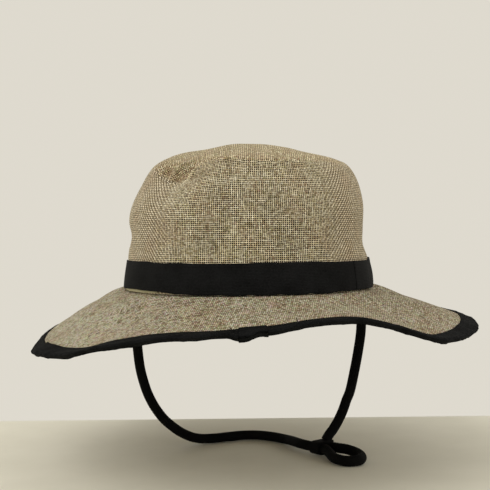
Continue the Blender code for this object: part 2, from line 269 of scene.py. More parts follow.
# %% Select and copy
def pick(*objects):
    """Leaves only these selected, the first one active, in object mode."""
    if bpy.context.mode != "OBJECT":
        bpy.ops.object.mode_set(mode="OBJECT")
    bpy.ops.object.select_all(action="DESELECT")
    for obj in objects:
        obj.select_set(True)
    bpy.context.view_layer.objects.active = objects[0]


def select(obj, kind, wanted):
    """Goes to edit mode and selects the VERTs, EDGEs or FACEs for which wanted(part) holds."""
    pick(obj)
    bpy.ops.object.mode_set(mode="EDIT")
    bpy.ops.mesh.select_mode(type=kind)
    bpy.ops.mesh.select_all(action="DESELECT")
    work = bmesh.from_edit_mesh(obj.data)
    parts = {"VERT": work.verts, "EDGE": work.edges, "FACE": work.faces}[kind]
    for part in [part for part in parts if wanted(part)]:
        part.select_set(True)
    work.select_flush_mode()
    bmesh.update_edit_mesh(obj.data)


def merged_copy(node, name):
    """A copy of a solid whose loose triangles are merged into quads."""
    copy = bpy.data.objects.new(name, cad[node].data.copy())
    bpy.context.collection.objects.link(copy)
    copy.data.materials.clear()
    pick(copy)
    if copy.data.has_custom_normals:
        bpy.ops.mesh.customdata_custom_splitnormals_clear()
    bpy.ops.object.mode_set(mode="EDIT")
    bpy.ops.mesh.select_all(action="SELECT")
    bpy.ops.mesh.remove_doubles(threshold=1e-5)
    bpy.ops.mesh.tris_convert_to_quads(
        face_threshold=math.radians(40), shape_threshold=math.radians(60)
    )
    bpy.ops.object.mode_set(mode="OBJECT")
    quads = sum(len(face.vertices) == 4 for face in copy.data.polygons)
    print(name, len(copy.data.polygons), "faces,", quads, "of them quads")
    return copy


def keep_faces(obj, wanted):
    """Deletes every face for which wanted(face) doesn't hold."""
    select(obj, "FACE", lambda face: not wanted(face))
    bpy.ops.mesh.delete(type="FACE")
    bpy.ops.object.mode_set(mode="OBJECT")


def take_faces(obj, name, wanted):
    """A new piece that starts as a copy of some of a piece's faces."""
    select(obj, "FACE", wanted)
    bpy.ops.mesh.duplicate()
    bpy.ops.mesh.separate(type="SELECTED")
    bpy.ops.object.mode_set(mode="OBJECT")
    taken = next(other for other in bpy.context.selected_objects if other is not obj)
    taken.name = name
    print(name, "starts with", len(taken.data.polygons), "faces of", obj.name)
    return taken


# %% Shape a sheet
def apply_modifier(obj, kind, **settings):
    """Adds a modifier with these settings and applies it."""
    pick(obj)
    modifier = obj.modifiers.new(kind.lower(), kind)
    for key, value in settings.items():
        setattr(modifier, key, value)
    bpy.ops.object.modifier_apply(modifier=modifier.name)


def subdivide(obj, levels):
    apply_modifier(obj, "SUBSURF", levels=levels, render_levels=levels)
    print(obj.name, "now has", len(obj.data.polygons), "faces")


def thicken(obj, wall):
    """Gives a sheet its thickness, inwards from its face, and shades it smoothly."""
    apply_modifier(obj, "SOLIDIFY", thickness=wall, offset=-1.0)
    obj.data.shade_smooth()


def round_edges(obj, width, segments, angle=60):
    """Bevels the edges that turn by more than this many degrees."""
    limit = math.radians(angle)
    apply_modifier(
        obj, "BEVEL", width=width, segments=segments, limit_method="ANGLE", angle_limit=limit
    )


def fatten(obj, amount):
    """Moves every point of a piece out along its normal."""
    select(obj, "VERT", lambda point: True)
    bpy.ops.transform.shrink_fatten(value=amount)
    bpy.ops.object.mode_set(mode="OBJECT")


def ruffle(obj, size, height, direction="NORMAL", group=""):
    """Uneven waves of about this size and height, all over or on the points of a vertex group."""
    waves = bpy.data.textures.new(obj.name + "_waves", "CLOUDS")
    waves.noise_scale = size
    waves.noise_depth = 1
    apply_modifier(
        obj,
        "DISPLACE",
        texture=waves,
        texture_coords="LOCAL",
        direction=direction,
        strength=height,
        vertex_group=group,
    )


def tree_of(places):
    """A search tree that finds the nearest of some places."""
    tree = KDTree(len(places))
    for i, place in enumerate(places):
        tree.insert(place, i)
    tree.balance()
    return tree


def nudge(obj, wanted, shift, spread):
    """Moves the points for which wanted(point) holds, and those around them less."""
    select(obj, "VERT", wanted)
    bpy.ops.transform.translate(value=shift, use_proportional_edit=True, proportional_size=spread)
    bpy.ops.object.mode_set(mode="OBJECT")


def push(obj, places, amount, spread, reach=0.002):
    """Pushes the points near some places out along their normals, and those around them less."""
    marks = tree_of(places)
    select(obj, "VERT", lambda point: marks.find(point.co)[2] < reach)
    bpy.ops.transform.shrink_fatten(
        value=amount,
        use_proportional_edit=True,
        proportional_edit_falloff="SMOOTH",
        proportional_size=spread,
    )
    bpy.ops.object.mode_set(mode="OBJECT")


# %% [markdown]
# Finding places
#
# The photograph is the guide, so a place on the hat is best named by where it shows there: a ray
# from the camera through that pixel meets the cloth. Places all round the hat are named by their
# bearing in degrees from the right, and lengths along the cloth are walked from point to point.

# %% Find places
OUTSIDE = 0.4
ABOVE = 0.3


def clamp(value):
    return min(1.0, max(0.0, value))


def bearing(point):
    """Degrees round the hat from +X."""
    return math.degrees(math.atan2(point.y, point.x))


def read_table(table, at):
    """A value between the rows of a two-column table."""
    for (low, start), (high, end) in zip(table, table[1:]):
        if at <= high:
            return start + (end - start) * (at - low) / (high - low)
    return table[-1][1]


def ray_place(obj, start, way, spot):
    """The first place on a piece along a ray to this spot."""
    hit, place, _, _ = obj.ray_cast(start, way)
    if not hit:
        raise ValueError(f"nothing of {obj.name} at {spot}")
    return place


def pixel_place(obj, pixel):
    """The place on a piece that lies under a pixel of the photograph."""
    across = (pixel[0] - AXIS_PIXEL[0]) / FOCAL_PIXELS
    down = (pixel[1] - AXIS_PIXEL[1]) / FOCAL_PIXELS
    right = across * math.cos(LEAN) - down * math.sin(LEAN)
    drop = down * math.cos(LEAN) + across * math.sin(LEAN)
    return ray_place(obj, EYE, Vector((right, 1.0, -drop)).normalized(), pixel)


def side_place(obj, spot):
    """The place on a piece's outside at a bearing and a height."""
    turn, height = spot
    way = Vector((math.cos(math.radians(turn)), math.sin(math.radians(turn)), 0.0))
    return ray_place(obj, OUTSIDE * way + Vector((0, 0, height)), -way, spot)


def top_place(obj, plan):
    """The highest place on a piece above a point of the plan."""
    return ray_place(obj, Vector((*plan, ABOVE)), Vector((0, 0, -1)), plan)


def over(plan, reach):
    """A test for the points that lie this near to a point of the plan."""
    return lambda point: (point.co.xy - Vector(plan)).length < reach


def lengths_from(obj, starts):
    """The shortest way along the edges from the start points to every point."""
    mesh = obj.data
    ways = [[] for _ in mesh.vertices]
    for edge in mesh.edges:
        a, b = edge.vertices
        stretch = (mesh.vertices[a].co - mesh.vertices[b].co).length
        ways[a].append((b, stretch))
        ways[b].append((a, stretch))
    lengths = [math.inf] * len(ways)
    queue = [(0.0, start) for start in starts]
    while queue:
        length, here = heapq.heappop(queue)
        if length >= lengths[here]:
            continue
        lengths[here] = length
        for there, stretch in ways[here]:
            heapq.heappush(queue, (length + stretch, there))
    return lengths


def rim_points(obj):
    """The numbers of the points on a sheet's open edges."""
    uses = {}
    for face in obj.data.polygons:
        for key in face.edge_keys:
            uses[key] = uses.get(key, 0) + 1
    return sorted({point for key, count in uses.items() if count == 1 for point in key})


# %% [markdown]
# The crown's shape
#
# The crown's tip is sewn to its side wall. The seam shows as a pale ridge round the shoulder: at the
# left it dives where the cloth is pinched in. Someone who shapes a hat by hand presses such places
# with a thumb, and proportional editing does just that: a few points are pushed along the cloth's
# normal and their neighbours follow, less and less. The shoulders and the waists above the ribbon
# are pressed in the same way. The seam's height is a short table by bearing.

# %% Sheet of the crown
HEART = Vector((0.0, 0.0, 0.035))
DOWNWARD = -0.9

crown = merged_copy("crown", "crown_cloth")
keep_faces(
    crown,
    lambda face: face.normal.dot(face.calc_center_median() - HEART) > 0 and face.normal.z > DOWNWARD,
)
subdivide(crown, 2)

# %% The seam between tip and wall
SEAM_HEIGHTS = (
    (-180.0, 0.0835),
    (-152.0, 0.0820),
    (-138.0, 0.0760),
    (-127.0, 0.0705),
    (-121.0, 0.0725),
    (-116.5, 0.0775),
    (-113.5, 0.0808),
    (-110.0, 0.0833),
    (-106.0, 0.0847),
    (-98.0, 0.0850),
    (-89.0, 0.0832),
    (-80.0, 0.0823),
    (-66.0, 0.0832),
    (-40.0, 0.0842),
    (0.0, 0.0845),
    (90.0, 0.0840),
    (180.0, 0.0835),
)
RIDGE = (-128, -66)

seam_line = [side_place(crown, (turn, read_table(SEAM_HEIGHTS, turn))) for turn in range(-180, 180)]
ridge_line = seam_line[RIDGE[0] + 180 : RIDGE[1] + 180]
ridge_tree = tree_of(ridge_line)
print("the seam runs from", round(1000 * min(place.z for place in seam_line)), "mm up")

# %% Press the crown at given places
RIGHT_TOP = ((0.050, -0.018), (0.058, 0.0), (0.050, 0.018))
LEFT_TOP = ((-0.044, -0.008), (-0.044, 0.008))
LEFT_WAIST = ((-178, 0.0365), (-171, 0.0365), (-164, 0.0365))
RIGHT_WAIST = ((-2, 0.0310), (-9, 0.0310), (-16, 0.0310))
PRESSES = (
    ("deepest of the pinch", pixel_place, ((180, 177), (185, 173), (190, 168)), -0.0040, 0.009),
    ("crease beside it", pixel_place, ((161, 167), (167, 172), (174, 178)), -0.0034, 0.007),
    ("dip in the tip", pixel_place, ((253, 149), (254, 152), (255, 155)), -0.0010, 0.010),
    ("left lobe", pixel_place, ((228, 149),), 0.0008, 0.012),
    ("right lobe", pixel_place, ((276, 150),), 0.0008, 0.012),
    ("top of the right shoulder", top_place, RIGHT_TOP, -0.0027, 0.018),
    ("top of the left shoulder", top_place, LEFT_TOP, 0.0010, 0.016),
    ("waist at the left", side_place, LEFT_WAIST, -0.0013, 0.010),
    ("waist at the right", side_place, RIGHT_WAIST, -0.0013, 0.010),
)

push(crown, ridge_line, amount=0.0019, spread=0.0042, reach=0.0012)
for what, find, spots, amount, spread in PRESSES:
    push(crown, [find(crown, spot) for spot in spots], amount, spread)
    print(what, "pushed by", 1000 * amount, "mm")
ruffle(crown, size=0.030, height=0.0014)

# %% [markdown]
# How the crown's cloth is laid
#
# A weave follows its cloth, not the room, so each cloth gets a UV map in metres. The tip was cut
# flat and keeps straight threads. The wall is a strip: its weft runs round the hat and its warp runs
# up. Four numbers are stored with each point for the finish: how near it is to the fold at the seam,
# where the cloth lies double; how far the threads' tops line up aslant at the sides; how much
# painted light it gets, as the tip is painted darker to tone down the light from above, the sides
# get a painted sheen, the fold a painted highlight and the pinch painted shade; and how far its
# weave is pulled open, which at the pinch is painted shade as well.

# %% Lay the crown's threads
PITCH = 0.00127
WALL_THREADS = 458
WALL_RADIUS = WALL_THREADS * PITCH / math.tau
TIP_RADIUS = 0.045

top_point = max(crown.data.vertices, key=lambda point: -point.co.xy.length).index
heights = lengths_from(crown, rim_points(crown))
from_top = lengths_from(crown, [top_point])


def wall_place(point, height):
    """Where a point of the wall lies on the flat strip: round the hat, and up it."""
    front = math.radians(bearing(point) + 90.0)
    return WALL_RADIUS * (front - math.tau if front > math.pi else front), height


def tip_place(point, length):
    """Where a point of the tip lies on the flat oval: its own way from the middle, unrolled."""
    return tuple(point.xy.normalized() * length)


def in_tip(place):
    return place.xy.length < TIP_RADIUS or place.z > read_table(SEAM_HEIGHTS, bearing(place))


points = crown.data.vertices
uv = crown.data.uv_layers.new(name="UVMap")
tip_faces = 0
for face in crown.data.polygons:
    if in_tip(face.center):
        tip_faces += 1
        laid = {corner: tip_place(points[corner].co, from_top[corner]) for corner in face.vertices}
    else:
        laid = {corner: wall_place(points[corner].co, heights[corner]) for corner in face.vertices}
        rounds = [place[0] for place in laid.values()]
        if max(rounds) - min(rounds) > WALL_RADIUS:
            whole = WALL_THREADS * PITCH
            laid = {corner: (u + whole if u < 0 else u, v) for corner, (u, v) in laid.items()}
    for loop in face.loop_indices:
        uv.data[loop].uv = laid[crown.data.loops[loop].vertex_index]
print("tip:", tip_faces, "faces; the wall is", round(1000 * max(heights)), "mm up to the middle")

# %% Mark the fold and the strained places
FOLD_REACH = 0.0026
FOLD_FADE = 10.0
# A painted highlight along the seam's ridge.
FOLD_HIGHLIGHT = 0.12
TIP_CLOSENESS = 0.25
# The tip is painted darker: painted shade that tones down the light it gets from above.
TIP_SHADE = -0.12
# The sides are painted paler: a painted sheen where the cloth turns away to the side.
SIDE_SHEEN = 0.15
SIDE_FROM = 0.2
SIDE_FADE = 0.25
LEFT_SLANT = 0.85
# Painted shade in the pinch, where the cloth lies hidden from the light.
PINCH_SHADE_SPOTS = (((182, 172), 0.016), ((166, 171), 0.012))
PINCH_SHADE = -0.06
# Places where the weave is pulled open; the two at the pinch open it as painted shade.
STRAINED_AND_SHADED = (
    ((229, 161), 0.004),
    ((182, 170), 0.012),
    ((166, 172), 0.008),
    ((222, 200), 0.018),
    ((270, 200), 0.016),
    ((205, 240), 0.014),
    ((290, 240), 0.016),
)


def nearness(place, marks):
    """1 at any of the marks, and 0 from its reach on."""
    return clamp(max(1.0 - (place - mark).length / reach for mark, reach in marks))


STORED = ("fold", "slant", "painted_light", "strain_and_shade")
for name in STORED:
    crown.data.attributes.new(name, "FLOAT", "POINT")
fold, slant, painted_light, strain_and_shade = (crown.data.attributes[name].data for name in STORED)
strained_and_shaded = [(pixel_place(crown, pixel), reach) for pixel, reach in STRAINED_AND_SHADED]
shaded_pinch = [(pixel_place(crown, pixel), reach) for pixel, reach in PINCH_SHADE_SPOTS]
for i, place in enumerate([point.co for point in crown.data.vertices]):
    begun = clamp((bearing(place) - RIDGE[0]) / FOLD_FADE)
    closeness = begun * clamp(1.0 - ridge_tree.find(place)[2] / FOLD_REACH)
    fold[i].value = max(TIP_CLOSENESS if in_tip(place) else 0.0, closeness)
    strain_and_shade[i].value = nearness(place, strained_and_shaded)
    # The tip gets painted shade and the sides a painted sheen.
    if in_tip(place):
        painted_light[i].value = TIP_SHADE
    else:
        sideways = place.x / place.xy.length
        share = clamp((sideways**2 - SIDE_FROM) / SIDE_FADE)
        slant[i].value = share if sideways > 0 else -LEFT_SLANT * share
        painted_light[i].value = SIDE_SHEEN * share
    # Painted shade at the pinch and a painted highlight along the fold.
    painted_light[i].value += PINCH_SHADE * nearness(place, shaded_pinch) + FOLD_HIGHLIGHT * closeness
print("strained places:", len(strained_and_shaded), "- soiled places:", len(shaded_pinch))

# %% Give the crown its thickness
CROWN_WALL = 0.0015

thicken(crown, CROWN_WALL)
print(crown.name, "is", 1000 * CROWN_WALL, "mm thick")

# %% [markdown]
# The brim
#
# The brim is a flat ring of stiffened linen that has drooped in use. Its waves are slight: none at
# the seam, where the ribbon holds it, and about a millimetre further out. A vertex group says how
# free each point is, and a Displace modifier with a cloud texture moves the free ones up and down.
# A second group says how near the edge a point is. It goes along to the tape that is cut from it.
# Larger sags and lifts are pulled at named places, and one stretch at the left gets painted light.

# %% Sheet of the brim
BRIM_WALL = 0.0010
FREE_FROM = 0.020
TAPE_WIDTH = 0.0095
UPWARD = 0.3
SEAM_WITHIN = 0.115
BRIM_NUDGES = (
    ("joint of the tape", (-0.0043, -0.1745), (0, 0, 0.0003), 0.013),
    ("just right of the joint", (0.0045, -0.1745), (0, 0, -0.0006), 0.012),
    ("front edge right of the joint", (0.0150, -0.1730), (0, 0, -0.0009), 0.020),
    ("front edge further right", (0.0700, -0.1560), (0, 0, 0.0006), 0.040),
    ("foot of the ribbon at the right", (0.0700, -0.0600), (0, 0, 0.0007), 0.020),
    ("near edge at the left", (-0.1120, -0.1160), (0, 0, -0.0015), 0.032),
    ("tip at the left", (-0.1434, -0.0483), (0.0014, 0, 0.0008), 0.024),
    ("far edge at the left", (-0.1500, 0.0110), (0, 0, 0.0010), 0.030),
    ("rise beside the crown at the left", (-0.0880, 0.0030), (0, 0, 0.0031), 0.018),
    ("near edge at the right", (0.1196, -0.1103), (0, 0, -0.0014), 0.026),
    ("rise beside the crown at the right", (0.0880, 0.0030), (0, 0, 0.0030), 0.022),
)
BRIM_NUDGE_REACH = 0.006

brim = merged_copy("brim", "brim_cloth")
keep_faces(brim, lambda face: face.normal.z > UPWARD)
subdivide(brim, 2)
edge_points = rim_points(brim)
inner = [i for i in edge_points if brim.data.vertices[i].co.xy.length < SEAM_WITHIN]
from_seam = lengths_from(brim, inner)
from_rim = lengths_from(brim, sorted(set(edge_points) - set(inner)))
free = brim.vertex_groups.new(name="free")
edge = brim.vertex_groups.new(name="edge")
for i, length in enumerate(from_seam):
    free.add([i], min(1.0, length / FREE_FROM), "REPLACE")
    edge.add([i], max(0.0, 1.0 - from_rim[i] / TAPE_WIDTH), "REPLACE")
ruffle(brim, size=0.034, height=0.0026, direction="Z", group="free")
for what, plan, shift, spread in BRIM_NUDGES:
    nudge(brim, over(plan, BRIM_NUDGE_REACH), shift, spread)
    print(what, "moved by", [round(1000 * part, 1) for part in shift], "mm")
print("brim:", round(1000 * max(from_seam), 1), "mm from the seam to the edge")

# %% Lay the brim's threads
BRIM_TURN = math.radians(7.0)
# The brim's left stretch is painted paler, as painted light from the upper left.
BRIM_LIT_MIDDLE = -0.105
BRIM_LIT_REACH = 0.070
BRIM_PAINTED_LIGHT = 0.17

painted_light = brim.data.attributes.new("painted_light", "FLOAT", "POINT").data
for point in brim.data.vertices:
    lit_share = clamp(1.0 - abs(point.co.x - BRIM_LIT_MIDDLE) / BRIM_LIT_REACH)
    painted_light[point.index].value = BRIM_PAINTED_LIGHT * lit_share

uv = brim.data.uv_layers.new(name="UVMap")
turned = Matrix.Rotation(BRIM_TURN, 2)
for loop in brim.data.loops:
    uv.data[loop.index].uv = turned @ brim.data.vertices[loop.vertex_index].co.xy
print("the brim's threads are turned by", round(math.degrees(BRIM_TURN)), "degrees")

# %% [markdown]
# The binding tape
#
# The edge is bound with a folded tape: one leaf lies on the brim, the fold goes round its edge, and
# the other leaf lies underneath. The quickest way to a tape that follows every wave is to take the
# brim's own outermost faces. They are duplicated, lifted off the cloth, more so at the fold, run out
# past the edge and thickened until they reach below the brim, and the fold is rounded with a bevel.
# Near the joint of its two ends the tape sags, and the cloth in it goes along.

# %% Take the tape from the brim
TAPE_LIFT = 0.0005
FOLD_LIFT = 0.0006
FOLD_OUT = 1.0065
FOLD_DOWN = 0.0014
CLOTH_EDGE_IN = 0.996
NEXT_ROW = 0.0112

tape = take_faces(
    brim, "binding_tape", lambda face: max(from_rim[point.index] for point in face.verts) < NEXT_ROW
)
fatten(tape, TAPE_LIFT)
apply_modifier(
    tape, "DISPLACE", direction="NORMAL", strength=FOLD_LIFT, mid_level=0.0, vertex_group="edge"
)


def weights(obj, group_name):
    """Every point's weight in a vertex group."""
    wanted = obj.vertex_groups[group_name].index
    return [
        next((entry.weight for entry in point.groups if entry.group == wanted), 0.0)
        for point in obj.data.vertices
    ]


# %% A line for the stitches
STITCH_FROM_RIM = 0.0083
STITCH_STEP = 0.00087
COLUMN_TURN = 3.0
INNER_FADE = 4.0

near = weights(tape, "edge")
inner_edge = tape.vertex_groups.new(name="inner")
for i, weight in enumerate(near):
    inner_edge.add([i], max(0.0, 1.0 - INNER_FADE * weight), "REPLACE")
wanted_weight = 1.0 - STITCH_FROM_RIM / TAPE_WIDTH
columns = {}
for point in tape.data.vertices:
    column = round(bearing(point.co) / COLUMN_TURN) % round(360 / COLUMN_TURN)
    columns.setdefault(column, []).append((abs(near[point.index] - wanted_weight), point.index))
row = [tape.data.vertices[min(columns[column])[1]].co.copy() for column in sorted(columns)]
tape_row, row_length = even_line(row + row[:1], STITCH_STEP)
print("points in the row:", len(row), "- its length:", round(row_length, 3), "m")

# %% Fold the tape round the edge
FOLD_THICKNESS = BRIM_WALL + 2 * (TAPE_LIFT + FOLD_LIFT)
INNER_SHARE = (BRIM_WALL + 2 * TAPE_LIFT) / FOLD_THICKNESS
ON_THE_RIM = 0.9


def on_the_rim(side):
    """Whether an edge is on the tape's outer rim."""
    return side.is_boundary and min(near[point.index] for point in side.verts) > ON_THE_RIM


select(tape, "EDGE", on_the_rim)
bpy.ops.mesh.extrude_region_move()
bpy.ops.transform.resize(value=(FOLD_OUT, FOLD_OUT, 1.0), center_override=(0, 0, 0))
bpy.ops.transform.translate(value=(0, 0, -FOLD_DOWN))
select(brim, "VERT", lambda point: from_rim[point.index] == 0)
bpy.ops.transform.resize(value=(CLOTH_EDGE_IN, CLOTH_EDGE_IN, 1.0), center_override=(0, 0, 0))
bpy.ops.object.mode_set(mode="OBJECT")
apply_modifier(
    tape,
    "SOLIDIFY",
    thickness=FOLD_THICKNESS,
    offset=-1.0,
    vertex_group="edge",
    thickness_vertex_group=INNER_SHARE,
)
round_edges(tape, width=0.0007, segments=3)
subdivide(tape, 2)
ruffle(tape, size=0.010, height=0.0012, group="edge")
ruffle(tape, size=0.0035, height=0.0004, group="edge")
for direction in "XY":
    ruffle(tape, size=0.0014, height=0.0010, direction=direction, group="inner")
tape.data.shade_smooth()

# %% The tape's two ends
LAP = (-91.8, -86.6)
LAP_LIFT = 0.0006
TAPE_NUDGE_REACH = 0.0025
TAPE_NUDGES = (
    ("fold left of the joint", (-0.0090, -0.1750), -0.0006, 0.010),
    ("fold at the joint", (-0.0030, -0.1755), -0.0020, 0.008),
    ("fold right of the joint", (0.0150, -0.1745), -0.0008, 0.012),
    ("fold further right", (0.0320, -0.1720), -0.0005, 0.012),
)

for what, plan, rise, spread in TAPE_NUDGES:
    for obj in (tape, brim):
        nudge(obj, over(plan, TAPE_NUDGE_REACH), (0, 0, rise), spread)
    print("tape's", what, "and the cloth in it moved by", 1000 * rise, "mm")
tape_lap = take_faces(
    tape, "tape_lap", lambda face: LAP[0] < bearing(face.calc_center_median()) < LAP[1]
)
fatten(tape_lap, LAP_LIFT)
thicken(tape_lap, LAP_LIFT)

# %% [markdown]
# The ribbon and the welt
#
# The ribbon is one strip whose ends overlap near the right of the crown. Its outer face is kept from
# the solid, waved very slightly, raised or lowered a little here and there, and thickened.
# The overlap is a short second layer, made from the ribbon's own faces as the tape's was. The welt
# is the turned-up edge of the cloth, which shows as a thin pale line under the ribbon at the left.

# %% Ribbon
RIBBON_WALL = 0.0009
RIBBON_LAP = (-42.0, -24.0)
RIBBON_LAP_LIFT = 0.0003
RIBBON_MIDDLE = 0.010
OUTWARD = 0.6
RIBBON_NUDGE_REACH = 0.003
RIBBON_NUDGE_SPREAD = 0.014
RIBBON_NUDGES = (
    ("foot at the left", 0.0028, (-178, -170, -162, -154, -146), 0.0004),
    ("foot left of the middle", 0.0028, (-117, -112), -0.0007),
    ("foot in the middle", 0.0028, (-104, -95, -84, -73, -62), -0.0006),
    ("top at the far left", 0.0185, (176, -176, -168, -160), 0.0006),
    ("top at the left", 0.0185, (-170, -162, -154, -146, -138), 0.0009),
    ("top left of the middle", 0.0185, (-148, -138, -128, -118), 0.0004),
    ("top in the middle", 0.0185, (-84, -75, -66), 0.0004),
    ("top round the right", 0.0185, (28, 18, 8, -2, -12), 0.0007),
    ("top at the right", 0.0185, (8, 0, -8), 0.0009),
    ("foot round the right", 0.0028, (28, 18, 8, -2, -12), 0.0012),
    ("foot at the right", 0.0028, (10, 2, -6), 0.0020),
)


def faces_outward(face):
    return face.normal.xy.dot(face.calc_center_median().xy.normalized()) > OUTWARD


def at_marks(point):
    """Whether a point is near one of the marks on the ribbon."""
    return min((point.co - mark).length for mark in marks) < RIBBON_NUDGE_REACH


ribbon = merged_copy("hat_band", "ribbon")
keep_faces(ribbon, faces_outward)
subdivide(ribbon, 2)
ruffle(ribbon, size=0.020, height=0.0005)
for what, height, turns, rise in RIBBON_NUDGES:
    marks = [side_place(ribbon, (turn, height)) for turn in turns]
    nudge(ribbon, at_marks, (0, 0, rise), RIBBON_NUDGE_SPREAD)
    print("ribbon's", what, "raised by", 1000 * rise, "mm")
ribbon_lap = take_faces(
    ribbon,
    "ribbon_lap",
    lambda face: RIBBON_LAP[0] < bearing(face.calc_center_median()) < RIBBON_LAP[1],
)
fatten(ribbon_lap, RIBBON_LAP_LIFT)

ribbon_edges = [ribbon.data.vertices[i].co for i in rim_points(ribbon)]
ribbon_foot = sorted((bearing(place), place.z) for place in ribbon_edges if place.z < RIBBON_MIDDLE)
ribbon_top = sorted((bearing(place), place.z) for place in ribbon_edges if place.z > RIBBON_MIDDLE)
print("ribbon's edges:", len(ribbon_foot), "and", len(ribbon_top), "points")

# %% Lines for the ribbon's stitches
RIBBON_MARGIN = 0.0014
FIRST_TURN = -179.5
TURN_STEP = 0.62


def ribbon_row(table, margin):
    """Places round the ribbon, this far above a line along it."""
    turns = [FIRST_TURN + TURN_STEP * i for i in range(int(359 / TURN_STEP))]
    return [side_place(ribbon, (turn, read_table(table, turn) + margin)) for turn in turns]


foot_row = ribbon_row(ribbon_foot, RIBBON_MARGIN)
top_row = ribbon_row(ribbon_top, -RIBBON_MARGIN)
print("places in each row:", len(foot_row))

for strip, wall in ((ribbon, RIBBON_WALL), (ribbon_lap, RIBBON_LAP_LIFT)):
    thicken(strip, wall)
    round_edges(strip, width=0.00012, segments=2)

# %% Welt
WELT_TAPER = -122.0
WELT_TUCK = 0.985

welt = merged_copy("seam_welt", "linen_welt")
subdivide(welt, 2)
select(welt, "VERT", lambda point: bearing(point.co) > WELT_TAPER and point.co.y < 0)
bpy.ops.transform.resize(
    value=(WELT_TUCK, WELT_TUCK, 1.0),
    center_override=(0, 0, 0),
    use_proportional_edit=True,
    proportional_size=0.035,
)
bpy.ops.object.mode_set(mode="OBJECT")
ruffle(welt, size=0.004, height=0.0005)
welt.data.shade_smooth()

# %% [markdown]
# Stitches, loose threads, tabs and keeper
#
# One stitch is a small bead of thread, drawn out from where the needle comes up to where it goes
# down. It is modelled once, and each copy is laid between two points of a line on the cloth. Two
# threads' ends stand out of the tape: each is a six-sided end that is extruded step by step. The
# tabs that hold the cord are stitched round their edges too. The keeper is a sleeve worn round: all
# its points are smoothed again and again, but for those of its bore, which stay round the strands.

# %% Sew
def sew(name, pairs, thickness):
    """One piece of many stitches, each from its pair's first place to its second."""
    bpy.ops.mesh.primitive_uv_sphere_add(segments=6, ring_count=5, radius=0.5)
    stitch = bpy.context.object
    copies = []
    for start, end in pairs:
        way = end - start
        shape = (
            Matrix.Translation((start + end) / 2)
            @ way.to_track_quat("Z", "Y").to_matrix().to_4x4()
            @ Matrix.Diagonal((thickness, thickness, way.length, 1.0))
        )
        copy = bpy.data.objects.new(name, stitch.data.copy())
        copy.data.transform(shape)
        bpy.context.collection.objects.link(copy)
        copies.append(copy)
    bpy.data.objects.remove(stitch)
    pick(*copies)
    bpy.ops.object.join()
    seam = bpy.context.object
    seam.name = name
    seam.data.shade_smooth()
    print(name, "has", len(copies), "stitches")
    return seam


def every_third(line):
    """Pairs two steps long with one step between them."""
    return [(line[i], line[i + 2]) for i in range(0, len(line) - 2, 3)]


ribbon_pairs = every_third(foot_row) + every_third(top_row)
tape_stitches = sew("tape_stitches", every_third(tape_row), thickness=0.00042)
ribbon_stitches = sew("ribbon_stitches", ribbon_pairs, thickness=0.00026)

# %% Loose threads
THREAD_RADIUS = 0.00028
LOOSE_ENDS = (
    ("loose_end_left", (234, 332), ((-0.0011, -0.0006, 0.0013), (-0.0014, 0.0, 0.0014))),
    ("loose_end_right", (297, 324), ((0.0001, -0.0006, 0.0014), (-0.0002, 0.0, 0.0018))),
)


def loose_end(name, pixel, steps):
    """A thread that stands out of the tape, extruded step by step."""
    bpy.ops.mesh.primitive_circle_add(
        vertices=6, radius=THREAD_RADIUS, fill_type="NGON", location=pixel_place(tape, pixel)
    )
    thread = bpy.context.object
    thread.name = name
    bpy.ops.object.transform_apply(location=True, rotation=True, scale=True)
    bpy.ops.object.mode_set(mode="EDIT")
    bpy.ops.mesh.select_all(action="SELECT")
    for step in steps:
        bpy.ops.mesh.extrude_region_move(TRANSFORM_OT_translate={"value": step})
    bpy.ops.mesh.select_all(action="SELECT")
    bpy.ops.mesh.normals_make_consistent(inside=False)
    bpy.ops.object.mode_set(mode="OBJECT")
    return thread


loose_ends = [loose_end(*row) for row in LOOSE_ENDS]
print("loose ends:", len(loose_ends))

# %% Tabs, each sewn round its edge
TAB_STITCHES = 5
TAB_MARGIN = 0.0022

tabs, tab_pairs = [], []
for side in ("left", "right"):
    node = "cord_tab_" + side
    tab = merged_copy(node, "sewn_tab_" + side)
    subdivide(tab, 2)
    tab.data.shade_smooth()
    tabs.append(tab)
    low, high = (Vector(corner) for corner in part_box(node))
    face = high.x if side == "left" else low.x
    front, back = low.y + TAB_MARGIN, high.y - TAB_MARGIN
    foot, top = low.z + TAB_MARGIN, high.z - TAB_MARGIN
    round_tab = ((front, foot), (back, foot), (back, top), (front, top))
    corners = [Vector((face, *place)) for place in round_tab]
    for start, end in zip(corners, corners[1:] + corners[:1]):
        steps = 3 * TAB_STITCHES
        tab_pairs += every_third([start.lerp(end, i / steps) for i in range(steps + 1)])
tab_stitches = sew("tab_stitches", tab_pairs, thickness=0.0004)

# %% Keeper, with its edges worn round
KEEPER_ROUND = 0.0015
KEEPER_WEAR = 60
BORE_RADIUS = 0.0048

keeper = merged_copy("cord_keeper", "worn_keeper")
round_edges(keeper, width=KEEPER_ROUND, segments=2, angle=50)
subdivide(keeper, 2)
strand_tree = tree_of(left_line + right_line)
select(keeper, "VERT", lambda point: strand_tree.find(point.co)[2] > BORE_RADIUS)
bpy.ops.mesh.vertices_smooth(factor=0.5, repeat=KEEPER_WEAR)
bpy.ops.object.mode_set(mode="OBJECT")
keeper.data.shade_smooth()

# %% [markdown]
# Finishes
#
# Every finish is a small network of nodes. A helper keeps the code close to how one would say it:
# add a node, give it numbers or other nodes' outputs, and take its result.

